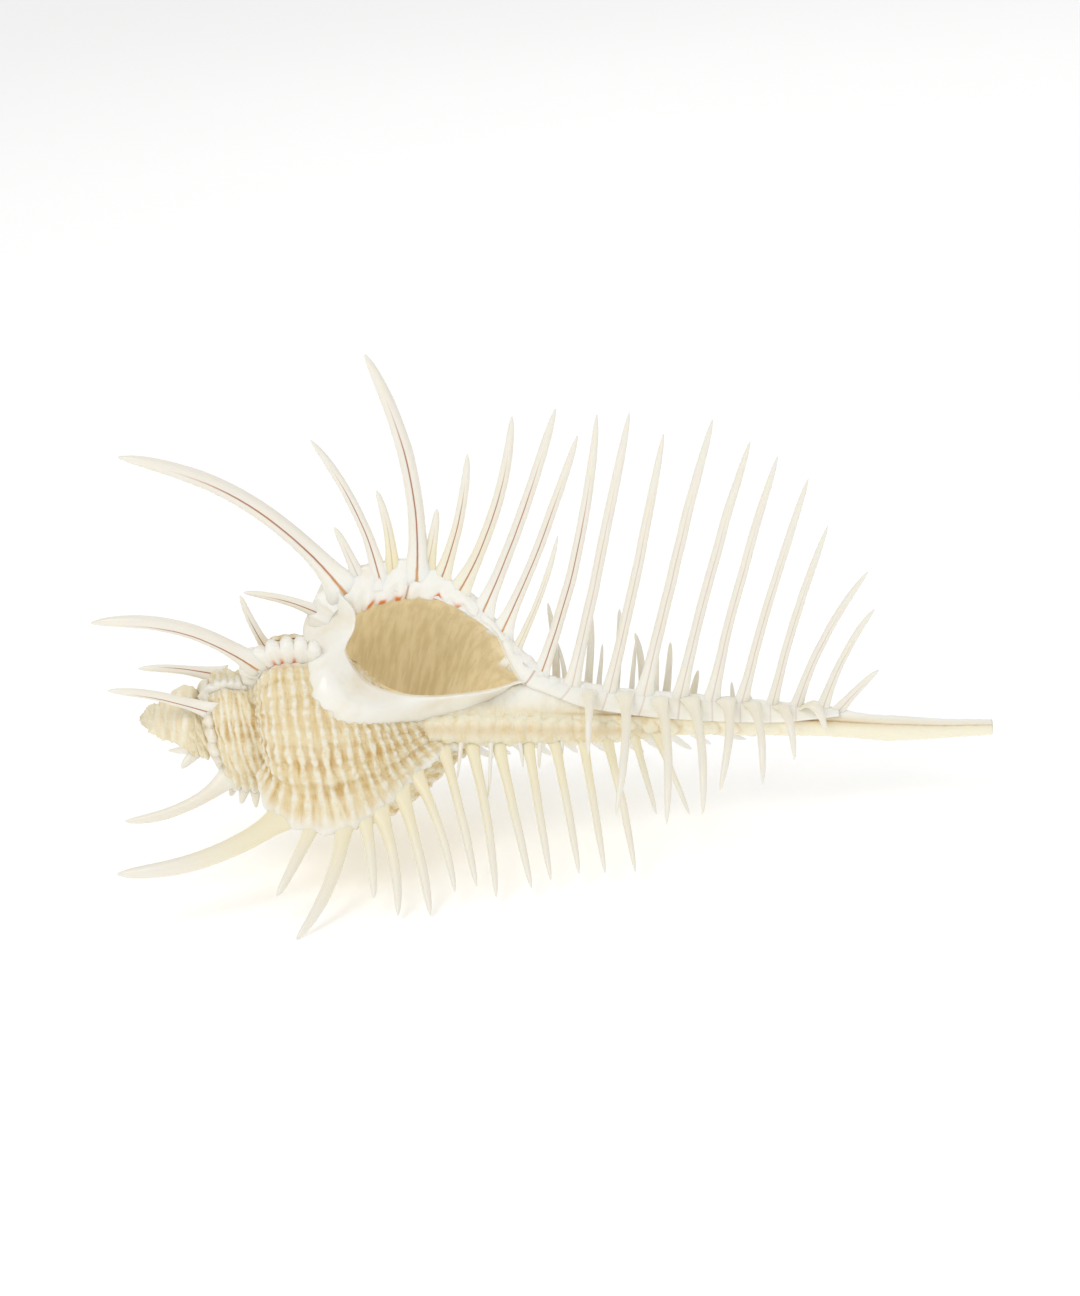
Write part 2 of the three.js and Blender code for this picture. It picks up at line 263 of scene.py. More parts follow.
def newMaterial(name):
    material = bpy.data.materials.new(name)
    material.use_nodes = True
    building["tree"] = material.node_tree
    return material, material.node_tree.nodes["Principled BSDF"]


def plug(socket, value):
    # an input takes another node's output or a plain value
    if isinstance(value, bpy.types.NodeSocket):
        building["tree"].links.new(value, socket)
    else:
        socket.default_value = value


def add(kind, inputs=(), **settings):
    node = building["tree"].nodes.new(kind)
    for key, value in settings.items():
        setattr(node, key, value)
    for key, value in dict(inputs).items():
        plug(node.inputs[key], value)
    return node


def calc(operation, a, b=0.0, c=0.0):
    return add("ShaderNodeMath", {0: a, 1: b, 2: c}, operation=operation).outputs[0]


def times(a, b):
    return calc("MULTIPLY", a, b)


def plus(a, b):
    return calc("ADD", a, b)


def timesPlus(a, b, c):
    return calc("MULTIPLY_ADD", a, b, c)


def vectorCalc(operation, a, b=(0, 0, 0)):
    return add("ShaderNodeVectorMath", {0: a, 1: b}, operation=operation).outputs[0]


def vectorPlus(a, b):
    return vectorCalc("ADD", a, b)


def scaled(vector, amount):
    return add("ShaderNodeVectorMath", {0: vector, "Scale": amount}, operation="SCALE").outputs[0]


def vectorOf(x, y=0.0, z=0.0):
    return add("ShaderNodeCombineXYZ", {0: x, 1: y, 2: z}).outputs[0]


def mark(name):
    return add("ShaderNodeAttribute", attribute_name=name).outputs["Fac"]


def tinted(amount, first, second):
    # a mix of two colours, each one a node's output, a tint's name or three values
    node = add("ShaderNodeMix", {0: amount}, data_type="RGBA")
    for value, socket in ((first, node.inputs[6]), (second, node.inputs[7])):
        value = shellTint.get(value, value) if isinstance(value, str) else value
        plug(socket, (*value, 1) if isinstance(value, tuple) else value)
    return node.outputs[2]


def band(value, low, high):
    inputs = {0: value, 1: low, 2: high}
    return add("ShaderNodeMapRange", inputs, interpolation_type="SMOOTHSTEP").outputs[0]


def noise(scale, detail=3.0, vector=None, roughness=0.55):
    where = vector or add("ShaderNodeTexCoord").outputs["Object"]
    inputs = {"Vector": where, "Scale": scale, "Detail": detail, "Roughness": roughness}
    return add("ShaderNodeTexNoise", inputs).outputs[0]


def glaze(shader, colour, roughness, translucent, coat=0.0):
    values = {
        "Base Color": colour, "Roughness": roughness, "Coat Weight": coat, "Coat Roughness": 0.22,
        "Subsurface Weight": translucent, "Subsurface Scale": 0.0012,
        "Subsurface Radius": (1.0, 0.72, 0.45),
    }
    for key, value in values.items():
        plug(shader.inputs[key], value)


def bumped(shader, height, distance, strength=0.6):
    bump = add("ShaderNodeBump", {"Height": height, "Distance": distance, "Strength": strength})
    plug(shader.inputs["Normal"], bump.outputs[0])


shellTint = {
    "ivory": (0.84, 0.70, 0.42),
    "cord": (0.91, 0.82, 0.58),
    "cordTop": (0.93, 0.90, 0.80),
    "tan": (0.65, 0.42, 0.13),
    "gold": (0.56, 0.32, 0.09),
    "enamel": (0.94, 0.92, 0.85),
    "enamelPatch": (0.86, 0.79, 0.64),
    "orange": (0.74, 0.20, 0.02),
    "seam": (0.42, 0.15, 0.07),
    "seamRoot": (0.70, 0.36, 0.12),
    "inside": (0.74, 0.64, 0.42),
    "insideRib": (0.86, 0.77, 0.55),
    "insidePatch": (0.62, 0.50, 0.30),
    "canal": (0.93, 0.88, 0.70),
    "canalArc": (0.86, 0.74, 0.48),
    "canalPatch": (0.92, 0.87, 0.72),
    "lemon": (0.89, 0.81, 0.55),
    "apex": (0.96, 0.87, 0.64),
    "spine": (0.87, 0.835, 0.75),
}


def ribbedShell():
    # ivory with paler cords, tan in between them, and gold where growth paused
    material, shader = newMaterial("ribbed shell")
    cord, enamel, turned = mark("cord"), mark("enamel"), mark("turned")
    path, along, gold = mark("path"), mark("along"), mark("gold")
    patches = noise(95, 3)
    fine = noise(900, 2)
    streakWay = vectorOf(times(turned, 0.055), times(along, 0.75), 3.0)
    streaks = noise(1.0, 4, streakWay, 0.6)
    bandWay = vectorOf(times(turned, 0.16), times(along, 0.10), 7.0)
    growthBands = noise(1.0, 3, bandWay, 0.55)
    lowCord = band(cord, 0.75, 0.15)
    warm = plus(band(streaks, 0.38, 0.66), times(gold, 0.7))
    warm = times(warm, timesPlus(band(growthBands, 0.35, 0.62), 0.65, 0.35))
    tan = times(warm, timesPlus(lowCord, 0.62, 0.2))
    colour = tinted(band(patches, 0.3, 0.7), "ivory", "cord")
    colour = tinted(tan, colour, "tan")
    deep = times(times(gold, lowCord), band(patches, 0.4, 0.65))
    colour = tinted(times(deep, 0.6), colour, "gold")
    high = times(band(cord, 0.5, 1.0), band(fine, 0.2, 0.6))
    colour = tinted(times(high, 0.8), colour, "cordTop")
    # white of the varices' enamel; on the collar this is partly painted light
    colour = tinted(enamel, colour, "enamel")
    # paler towards the apex: partly the worn apex's own colour, partly painted light that brightens the
    # shaded older whorls
    wornAndLit = times(band(turned, 600, 1250), band(patches, 0.25, 0.6))
    colour = tinted(times(wornAndLit, 0.85), colour, "apex")
    colour = tinted(mark("spot"), colour, "orange")
    glaze(shader, colour, 0.4, 0.12)
    lines = noise(1.0, 5, vectorOf(times(path, 1.1), times(along, 0.3), 1.0))
    bumped(shader, plus(lines, times(fine, 0.4)), 0.0004, 0.6)
    return material


def enamelShell():
    # white lip and callus, with orange marks at the edge and brown seams to the spines
    material, shader = newMaterial("white enamel")
    spot, seam = mark("spot"), mark("seam")
    patches = noise(160, 3)
    colour = tinted(band(patches, 0.45, 0.8), "enamel", "enamelPatch")
    colour = tinted(seam, colour, "seam")
    colour = tinted(spot, colour, "orange")
    glaze(shader, colour, 0.28, 0.15, 0.25)
    bumped(shader, noise(420, 3), 0.0003, 0.35)
    return material


def spineShell():
    # white at the root, ivory further out, with a brown seam up the front of some
    material, shader = newMaterial("spine")
    share, front, seamed, lemon = (mark(n) for n in ("share", "front", "seamed", "lemon"))
    patches = noise(260, 3)
    base = tinted(band(share, 0.0, 0.3), "enamel", "spine")
    patchy = times(band(patches, 0.4, 0.75), 0.14)
    colour = tinted(patchy, base, "lemon")
    colour = tinted(times(lemon, band(share, 0.9, 0.1)), colour, "lemon")
    reach = band(share, 0.85, 0.5)
    thin = band(front, 0.55, 0.95)
    line = times(times(thin, seamed), reach)
    seamTint = tinted(band(share, 0.0, 0.2), "seamRoot", "seam")
    colour = tinted(line, colour, seamTint)
    glaze(shader, colour, 0.33, 0.22, 0.1)
    bumped(shader, noise(700, 3), 0.0002, 0.3)
    return material


def insideShell():
    # golden wall inside the mouth, white where it leaves the lip, with a painted glow that lightens its shade
    material, shader = newMaterial("aperture wall")
    turned, along = mark("turned"), mark("along")
    ribs = noise(1.0, 3, vectorOf(times(turned, 0.05), times(along, 0.9), 5.0))
    patches = noise(150, 3)
    colour = tinted(band(ribs, 0.35, 0.65), "inside", "insideRib")
    patchy = times(band(patches, 0.4, 0.75), 0.35)
    colour = tinted(patchy, colour, "insidePatch")
    colour = tinted(band(turned, 3.5, 0.0), colour, "enamel")
    glaze(shader, colour, 0.35, 0.1, 0.15)
    plug(shader.inputs["Emission Color"], colour)
    shader.inputs["Emission Strength"].default_value = 0.19  # painted glow of the wall's own colour, lightening the shaded inside of the mouth
    bumped(shader, ribs, 0.0004, 0.4)
    return material


def canalShell():
    # cream tube with tan growth arcs, a tan groove under the lip, and white enamel where the lip laps over
    material, shader = newMaterial("canal")
    enamel, groove, station, along = (mark(n) for n in ("enamel", "groove", "turned", "along"))
    arcs = noise(1.0, 4, vectorOf(times(station, 0.14), times(along, 0.5), 2.0), 0.6)
    patches = noise(130, 3)
    arcs = times(arcs, band(station, 640, 500))
    colour = tinted(band(arcs, 0.46, 0.68), "canal", "canalArc")
    patchy = times(band(patches, 0.45, 0.7), 0.5)
    colour = tinted(patchy, colour, "canalPatch")
    colour = tinted(times(groove, 0.75), colour, "tan")
    colour = tinted(enamel, colour, "enamel")
    glaze(shader, colour, 0.4, 0.15)
    bumped(shader, plus(arcs, times(patches, 0.5)), 0.0006, 0.6)
    return material


materials = {
    "canal": canalShell(), "ribbed": ribbedShell(), "enamel": enamelShell(), "spine": spineShell(),
    "inside": insideShell(),
}
print("materials ready")


def newTree(name, inputs):
    tree = bpy.data.node_groups.new(name, "GeometryNodeTree")
    tree.interface.new_socket("Geometry", in_out="INPUT", socket_type="NodeSocketGeometry")
    for label, kind, value in inputs:
        socket = tree.interface.new_socket(label, in_out="INPUT", socket_type="NodeSocket" + kind)
        if value is not None:
            socket.default_value = value
    tree.interface.new_socket("Geometry", in_out="OUTPUT", socket_type="NodeSocketGeometry")
    building["tree"] = tree
    return add("NodeGroupInput").outputs, add("NodeGroupOutput").inputs


def endTree(geometry, finish, result):
    real = add("GeometryNodeRealizeInstances", {"Geometry": geometry}).outputs[0]
    finished = add("GeometryNodeSetMaterial", {"Geometry": real, "Material": finish}).outputs[0]
    plug(result["Geometry"], finished)
    return building["tree"]


def named(name, kind="FLOAT"):
    return add("GeometryNodeInputNamedAttribute", {"Name": name}, data_type=kind).outputs[0]


def wave(amount, spacing):
    # 1 on each crest and 0 halfway between two
    turn = times(calc("DIVIDE", amount, spacing), 2 * math.pi)
    return timesPlus(calc("COSINE", turn), 0.5, 0.5)


def treeNoise(where, detail):
    return add("ShaderNodeTexNoise", {"Vector": where, "Scale": 1.0, "Detail": detail}).outputs


def setInputs(modifier, tree, values):
    ids = {item.name: item.identifier for item in tree.interface.items_tree if item.in_out == "INPUT"}
    for label, value in values.items():
        modifier[ids[label]] = value


def madePlain(piece):
    # the modifier's result as a plain mesh
    evaluated = piece.evaluated_get(bpy.context.evaluated_depsgraph_get())
    mesh = bpy.data.meshes.new_from_object(evaluated)
    piece.modifiers.clear()
    old = piece.data
    piece.data = mesh
    bpy.data.meshes.remove(old)
    mesh.name = piece.name
    return piece


# relief of cords, beads and ribs: spacings in mm or degrees of growth, heights in metres
relief = {
    "Cord Spacing": 2.6, "Cord Height": 0.00034, "Bead Spacing": 1.9, "Bead Height": 0.00013,
    "Rib Spacing": 13.5, "Rib Height": 0.00030, "Seed": 4.0,
}


def reliefTree():
    given, result = newTree("shell relief", [
        ("Cord Spacing", "Float", 1.7), ("Cord Height", "Float", 0.0002), ("Bead Spacing", "Float", 1.5),
        ("Bead Height", "Float", 0.0001), ("Rib Spacing", "Float", 24.0), ("Rib Height", "Float", 0.0003),
        ("Seed", "Float", 4.0), ("Finish", "Material", None)])
    along, turned, size, mask = (named(n) for n in ("along", "turned", "size", "relief"))
    place = vectorOf(times(along, 0.25), times(turned, 0.05), given["Seed"])
    wander = calc("SUBTRACT", treeNoise(place, 2.0)[0], 0.5)
    cordAt = plus(along, times(wander, 1.9))
    main = calc("POWER", wave(cordAt, given["Cord Spacing"]), 1.2)
    thread = wave(cordAt, times(given["Cord Spacing"], 0.36))
    arc = times(turned, math.radians(1) * 18)
    bead = wave(plus(arc, times(wander, 2.5)), given["Bead Spacing"])
    rib = wave(plus(turned, times(wander, 14)), given["Rib Spacing"])
    uneven = treeNoise(scaled(place, 5.0), 3.0)[0]

    cordShape = times(main, timesPlus(bead, 0.24, 0.76))
    cordShape = times(cordShape, timesPlus(uneven, 1.5, 0.2))
    cordShape = timesPlus(thread, 0.07, cordShape)
    cordShape = timesPlus(rib, 0.22, cordShape)
    height = times(cordShape, given["Cord Height"])
    height = timesPlus(bead, given["Bead Height"], height)
    height = timesPlus(rib, given["Rib Height"], height)
    height = timesPlus(uneven, 0.00050, height)
    height = times(height, times(size, mask))

    push = scaled(add("GeometryNodeInputNormal").outputs[0], height)
    moved = add("GeometryNodeSetPosition", {"Geometry": given["Geometry"], "Offset": push}).outputs[0]
    values = {"Geometry": moved, "Name": "cord", "Value": cordShape}
    stored = add("GeometryNodeStoreNamedAttribute", values, data_type="FLOAT").outputs[0]
    return endTree(stored, given["Finish"], result)


reliefNodes = reliefTree()


def giveRelief(piece, changes=None, finish="ribbed"):
    modifier = piece.modifiers.new("relief", "NODES")
    modifier.node_group = reliefNodes
    setInputs(modifier, reliefNodes, {**relief, **(changes or {}), "Finish": materials[finish]})
    return madePlain(piece)


pieces = []
pieces.append(giveRelief(sweepWhorls("body_whorl", **whorl["body"])))
pieces.append(giveRelief(sweepWhorls("spire", **whorl["spire"]), {"Rib Spacing": 20.0}))

collar = {
    "from": 372, "to": 1330, "step": 2.0,  # degrees of growth before the lip
    "centre": (28.2, 14.3), "thick": 1.5, "flat": 0.75, "sides": 16,
    "rough": 1.3, "scales": 9.3, "bigScales": 3.1,
    # up to here the collar is whiter: partly its own white enamel, partly painted light on its shaded ridge
    "whiteAndLitTo": 430,
}


def makeCollar():
    # scaly band that winds along the suture
    backs = np.arange(collar["from"], collar["to"], collar["step"])
    around = np.linspace(0, 2 * math.pi, collar["sides"], endpoint=False)
    size = growth(backs)[:, None]
    scale = (0.75 * np.sin(np.radians(backs * collar["scales"])) ** 2
             + 0.35 * np.sin(np.radians(backs * collar["bigScales"])) ** 2)
    thick = collar["thick"] * (1 + collar["rough"] * scale)[:, None]
    x = size * (collar["centre"][0] - thick * collar["flat"] * np.cos(around)[None])
    r = size * (collar["centre"][1] + thick * np.sin(around)[None])
    points = ringPoint(x, r, whorl["lipDirection"] - backs[:, None])
    marks = {
        "along": 3 + around[None] * 1.4, "turned": backs[:, None], "path": grownLength(backs)[:, None],
        # its enamel mark is partly the collar's own white and partly painted light lifting its shade
        "size": size, "enamel": np.where(backs < collar["whiteAndLitTo"], 0.95, 0.6)[:, None],
        "gold": 0.3, "spot": 0.0, "relief": 1.0,
    }
    return gridPiece("collar", points, marks, "ribbed", closed=True)


pieces.append(giveRelief(makeCollar()))

apex = {
    "radius": [(0, 0.05), (0.5, 0.9), (1.3, 1.6), (2.6, 2.3), (4, 3.0), (5.7, 3.7), (7.1, 4.1), (8.1, 3.9),
               (9, 2.2)],
    "rings": 40, "sides": 48,
    "knobs": [(20, 16, 1), (148, 18, 1), (95, 12, 0.8), (-100, 18, 1)],  # direction, width and strength
    "knobHigh": 0.22,
}


def makeApex():
    # the first whorls, worn to a pale cone; part of that paleness is painted light lifting their shade
    xs = np.linspace(0, 1, apex["rings"]) ** 1.5 * apex["radius"][-1][0]
    directions = np.linspace(0, 360, apex["sides"], endpoint=False)
    x, d = np.meshgrid(xs, directions, indexing="ij")
    coil = np.sin(np.pi * ((np.radians(d) - np.log(x + 0.8) * 5.2) / (2 * math.pi) % 1))
    knobs = sum(strength * near(d, at, wide) for at, wide, strength in apex["knobs"])
    radius = smoothRead(apex["radius"], x) * (0.86 + 0.2 * coil ** 0.6)
    radius = radius * (1 + apex["knobHigh"] * knobs * np.clip(x / 6, 0, 1) * coil)
    marks = {
        "along": x * 1.6 + d / 60, "turned": 1430 - x * 42 + d * 0.1, "path": d * 0.2, "size": 0.6,
        "enamel": 0.2, "gold": 0.5 * near(d, 150, 50), "spot": 0.0, "relief": 1.0,
    }
    return gridPiece("apex", ringPoint(x, radius, d), marks, "ribbed", closed=True)


pieces.append(giveRelief(makeApex()))
print("whorls swept")

# the outer lip runs from the comb's roots to the aperture's edge and along the canal
lip = {
    "outer": [(29.3, 19.6), (30.8, 22.6), (33.5, 24.6), (38, 25.7), (42.5, 25.9), (46.5, 23.4), (50.5, 19.9),
              (54.2, 15.8), (57.5, 11.6), (60.2, 8.9), (63.3, 6.7), (68, 5.7), (73, 4.9), (79, 4.5),
              (84, 4.0), (89, 3.7), (94, 3.5), (98, 3.2), (102, 3.0), (106.5, 2.6)],
    "inner": [(28.4, 20.6), (30.4, 19), (32.9, 16.7), (36.3, 18.0), (41.3, 18.9), (46.2, 18.6), (50.1, 16.8),
              (53.9, 13.8), (56.2, 9.0), (58.5, 5.8), (61, 4.7), (66.9, 2.5), (72, 1.6), (78, 0.9),
              (84, 0.5), (89, 0.3), (94, 0.2), (98, 0.3), (102, 0.7), (106.5, 1.3)],
    "innerDepth": [(28, 7.2), (33, 5.7), (41, 6.9), (48, 6.6), (54, 5), (58, 2.7), (64, 2.7), (76, 2.5),
                   (90, 2.3), (104, 1.8), (107, 1.4)],
    "count": 900, "across": 19,
    "bulge": 0.75,
    "tooth": 2.35,                # spacing of the scallops along the edge
    "toothDepth": 0.55,
    "toothTo": (55, 50),          # there are none beyond the first, and full ones before the second
    "spots": [(35.0, 1.0), (36.8, 1.0), (39.2, 0.8), (45.2, 0.9), (48.3, 0.4)],
    "spotDepth": 0.75,            # how far from the edge the orange marks are
    "seams": [(41.8, 0.8), (51.6, 0.2), (60.2, 0.6), (65.6, 0.3), (71.2, 0.3), (76.9, 0.3), (82.2, 0.3),
              (87.1, 0.25), (91.4, 0.25), (96, 0.2), (99.9, 0.2)],
    "seamWide": 0.13,
}


def lipEdges(count):
    # points of the outer and the inner edge, matched one to one, and which listed point each one is near
    outer = alongCurve([(i, *p) for i, p in enumerate(lip["outer"])], at=np.linspace(0, 1, count))
    station = outer[:, 0]
    smooth = alongCurve([(i, *p) for i, p in enumerate(lip["inner"])], 1200)
    inner = np.stack([np.interp(station, smooth[:, 0], smooth[:, k]) for k in (1, 2)], 1)
    a = math.radians(whorl["lipDirection"])
    outerPoints = np.stack([outer[:, 1], outer[:, 2] * math.cos(a), outer[:, 2] * math.sin(a)], 1)
    innerPoints = np.stack([inner[:, 0], inner[:, 1], readList(lip["innerDepth"], inner[:, 0])], 1)
    return outerPoints, innerPoints, station


def makeLip():
    count, across = lip["count"], lip["across"]
    outer, inner, _ = lipEdges(count)
    a = math.radians(whorl["lipDirection"] + 90)
    front = np.array([0, math.cos(a), math.sin(a)])
    run = np.r_[0, np.cumsum(np.linalg.norm(np.diff(inner, axis=0), axis=1))]
    scalloped = ramp(inner[:, 0], *lip["toothTo"])
    tooth = np.abs(np.sin(run / lip["tooth"] * math.pi + 0.5 * np.sin(run * 0.9)))
    way = outer - inner
    way /= np.linalg.norm(way, axis=1)[:, None]
    inner = inner - way * (tooth ** 0.6 * scalloped * lip["toothDepth"])[:, None]

    q = np.linspace(0, 1, across)  # 0 at the comb's roots and 1 at the aperture's edge
    rows = outer[:, None] + (inner - outer)[:, None] * q[None, :, None]
    swell = np.sin(np.pi * np.clip(q * 0.94 + 0.06, 0, 1)) ** 0.6 * lip["bulge"]
    toothLumps = tooth[:, None] ** 2 * np.clip(q * 1.6 - 0.4, 0, 1) * 0.4
    otherLumps = 0.3 * np.sin(run[:, None] * 1.1 + 2.2 * q) * np.sin(q * 4.0) ** 2
    lumps = scalloped[:, None] * (toothLumps + otherLumps) * np.sin(np.pi * q) ** 0.3
    rows = rows + front * (swell[None] + lumps)[..., None]

    # the lip's thickness: rows behind the comb's roots, and rows turned into the mouth
    wall = inner[:, None] - front * np.linspace(0.3, 2.0, 3)[None, :, None] + way[:, None] * 0.15
    back = outer[:, None] - front * np.array([2.2, 1.2, 0.4])[None, :, None]
    back = back + way[:, None] * np.array([-1.2, -0.3, 0.1])[None, :, None]
    rows = np.concatenate([back, rows, wall], 1)

    depth = np.linalg.norm(rows - inner[:, None], axis=2)
    onFace = np.r_[np.zeros(3), np.ones(across), np.zeros(3)][None]
    spot = sum(strength * np.exp(-((inner[:, :1] - x) ** 2 + (depth - lip["spotDepth"]) ** 2) / 0.24)
               for x, strength in lip["spots"])
    seam = sum(strength * np.exp(-((outer[:, :1] - x) / lip["seamWide"]) ** 2)
               for x, strength in lip["seams"])
    marks = {"spot": np.clip(spot * 2.2, 0, 1), "seam": np.clip(seam, 0, 1) * onFace}
    return gridPiece("lip", rows, marks, "enamel", flip=True)


pieces.append(makeLip())

# the callus has its edge at the mouth and its margin on the whorl
callus = {
    "inner": [(28.6, 21.6, 7.2), (30.6, 19.3, 7.6), (32.6, 16.8, 7.4), (32.7, 14.4, 8.0), (31.7, 12.0, 8.9),
              (31.5, 10.4, 9.5), (32.9, 7.9, 9.9), (34.8, 5.9, 9.4), (37, 4.8, 8.6), (39.4, 4.2, 7.9),
              (42.4, 3.9, 7.0), (45.5, 3.9, 6.3), (48.5, 4.2, 5.7), (51.6, 4.6, 5.1), (54.4, 5.2, 4.4),
              (57.4, 6.2, 3.2), (59.6, 6.6, 2.6)],
    "margin": [(27.8, 21.8), (26.8, 19.2), (25.9, 16.8), (25.1, 14.2), (25.5, 11.6), (26.2, 9.0), (26.5, 6.0),
               (27.2, 3.2), (30.6, 0.2), (34.8, -0.4), (39.4, -0.1), (45.5, 0.4), (48.5, 1.0), (51.6, 2.2),
               (54.7, 3.7), (57.9, 5.6), (60.4, 6.2)],
    "ledge": [(12, 0), (14, 5.5), (17, 4.6), (20, 3.4)],  # the margin's height where it leaves the whorl
    "count": 150, "across": 34,
}


def surfaceHeight(x, y):
    # how far the outside stands towards z at a place, from the whorl just behind the aperture
    best = 0.0
    line = sectionLine(160, 0, 0.97)[0]
    for direction in np.arange(8, 150, 1.0):
        size = growth(np.array([whorl["lipDirection"] - direction + 360.0]))[0]
        r = np.interp(x, size * line[:, 0], size * line[:, 1])
        if abs(r * math.cos(math.radians(direction)) - y) < 0.35:
            best = max(best, r * math.sin(math.radians(direction)))
    return best


def makeCallus():
    share = np.linspace(0, 1, callus["count"])
    inner = alongCurve(callus["inner"], at=share)
    margin = alongCurve(callus["margin"], at=share)
    low = np.array([max(surfaceHeight(x, y), readList(callus["ledge"], y)) for x, y in margin])
    low = np.convolve(np.pad(low, 6, mode="edge"), np.ones(13) / 13, "valid")
    margin = np.column_stack([margin, low - 0.1])
    middle = (inner + margin) / 2
    middle[:, 2] = np.maximum(inner[:, 2] * 0.35 + margin[:, 2] * 0.65 + 0.75, margin[:, 2] + 0.4)
    sheet = ramp(inner[:, 1], 12, 16)
    middle[:, 2] += sheet * (inner[:, 2] * 0.2 - 1.9)
    under = inner + np.array([0.12, 0.2, -0.7])
    rim = inner + np.array([0, -0.3, 0.4])
    over = margin + np.array([0, -0.05, 0.28])
    sunk = margin - np.array([0, 0.2, 0.5])
    rows = [alongCurve(ways, callus["across"]) for ways in zip(under, inner, rim, middle, over, sunk)]
    return gridPiece("callus", np.array(rows), {"spot": 0.0, "seam": 0.0}, "enamel")


pieces.append(makeCallus())

# the aperture's wall follows the edges of the lip and the callus back into the whorl
aperture = {
    "wall": 1.15,
    "floor": [(58.4, 5.4), (54, 4.2), (48, 3.9), (42.5, 4.4), (38, 6.2), (34, 9.2), (31.6, 12.4),
              (31.0, 15.9)],
    "depth": 205,                 # degrees of turn
    "underCallus": (-0.5, -0.7, -0.8),
    "ease": (6.0, 14.0),          # degrees in which the wall leaves the lip and the callus
}


def makeApertureWall():
    _, inner, station = lipEdges(700)
    edge = inner[(inner[:, 0] > 32.9) & (inner[:, 0] < 58.6) & (station > 2)][::2]
    rim = alongCurve(callus["inner"][2:-1], 70)[::-1][1:-1]
    floor = alongCurve(aperture["floor"], len(rim))
    loop = np.vstack([np.stack([edge[:, 0], np.hypot(edge[:, 1], edge[:, 2])], 1), floor])
    onLip = np.arange(len(loop)) < len(edge)
    backs = np.r_[np.arange(0, 12, 1.0), np.arange(12, aperture["depth"], 3.0)]
    size = growth(backs)[:, None]
    sunk = aperture["wall"] * (1 - np.exp(-backs / 8))[:, None] * onLip
    points = ringPoint(size * loop[:, 0], size * (loop[:, 1] - sunk), whorl["lipDirection"] - backs[:, None])
    fix = np.vstack([edge, rim + np.array(aperture["underCallus"])]) - points[0]
    ease = np.where(onLip, *aperture["ease"])
    points += fix[None] * np.exp(-backs[:, None] / ease[None])[..., None]
    along = np.r_[0, np.cumsum(np.linalg.norm(np.diff(loop, axis=0), axis=1))]
    marks = {"along": along[None], "turned": backs[:, None]}
    return gridPiece("aperture_wall", points, marks, "inside", closed=True, flip=True)


pieces.append(makeApertureWall())

# the canal, mostly as pairs of x and a size there
canal = {
    "radius": [(44, 3.3), (52, 3.0), (60, 2.7), (70, 2.3), (80, 2.1), (90, 1.9), (100, 1.75), (108, 1.7),
               (114, 1.85), (119, 1.6), (124, 1.3), (130, 1.08)],
    "sag": [(44, 0.2), (60, 0.5), (85, 0.5), (105, 0), (114, -0.5), (122, -0.5), (130, -0.2)],
    "crest": [(46, 0), (53, 0), (57.5, 3.0), (63, 4.0), (68, 3.4), (73, 2.7), (79, 2.4), (84, 2.1), (89, 1.8),
              (94, 1.7), (98, 1.5), (103, 1.3), (108, 0.6), (112, 0)],
    "backCrest": [(44, 0.8), (95, 0.48), (108, 0)],
    "slit": [(60, 0), (66, 0.45), (126, 0.36), (130, 0.36)],
    "swelling": [(50, 0.15), (58, 0.5), (92, 0.35), (104, 0)],
    "tanGroove": [(50, 0.1), (60, 0.3), (74, 0.55), (86, 0.9), (104, 0.9), (114, 0.35), (130, 0.2)],
    "tanCrease": [(50, 0.75), (88, 0.75), (104, 0)],
    "archSpacing": 3.1,
    "around": 96,
    "mouth": [(0.55, 0.0), (0.5, -0.5), (0.3, -6.0)],  # rings of the hole in its end: width share and depth
}


def canalArch(x, direction):
    # 1 on the swellings between spine roots and 0 in the creases, which bow towards the tip
    bow = 1.6 * near(direction, 128, 40)
    return np.abs(np.sin(math.pi * (x - bow) / canal["archSpacing"])) ** 0.7


def canalRadius(x, direction):
    radius = smoothRead(canal["radius"], x)
    radius = radius + readList(canal["crest"], x) * near(direction, whorl["lipDirection"] - 5, 20)
    radius = radius + readList(canal["backCrest"], x) * near(direction, whorl["backDirection"], 20)
    radius = radius - readList(canal["slit"], x) * near(direction, 68, 7)
    return radius + readList(canal["swelling"], x) * near(direction, 128, 48) * canalArch(x, direction)


def makeCanal():
    xs = np.r_[np.arange(46, 108, 0.3), np.arange(108, 130, 0.35), 130.0]
    directions = np.linspace(0, 360, canal["around"], endpoint=False)
    x, d = np.meshgrid(xs, directions, indexing="ij")
    points = ringPoint(x, canalRadius(x, d), d, readList(canal["sag"], x))
    end = points[-1]
    centre = end.mean(0)
    hole = [centre + (end - centre) * share + np.array([depth, 0, 0]) for share, depth in canal["mouth"]]
    points = np.concatenate([points, hole])
    x = points[..., 0]
    groove = near(directions, 66, 24) * readList(canal["tanGroove"], x)
    creases = (1 - canalArch(x, directions)) ** 2 * near(directions, 120, 50)
    creases = creases * readList(canal["tanCrease"], x)
    marks = {
        "along": directions[None] / 360 * 14, "turned": x * 6.0, "size": 0.5,
        "enamel": near(directions, whorl["lipDirection"], 30)[None],
        "groove": np.maximum(groove, creases), "relief": 0.5,
    }
    return gridPiece("canal", points, marks, "canal", closed=True)


pieces.append(giveRelief(makeCanal(), {"Cord Height": 0.00012, "Rib Height": 0.0002}, "canal"))

oldCanal = {
    "from": 42, "to": 80, "step": 0.25, "around": 48,
    "radius": [(42, 1.6), (50, 2.2), (60, 2.1), (70, 1.7), (80, 0.5)],
    "lift": [(42, 2.6), (50, 1.9), (70, 1.2), (80, 0.6)],
    "aside": -1.05,
    "scaleSpacing": 2.3, "scaleHeight": 0.28,
}


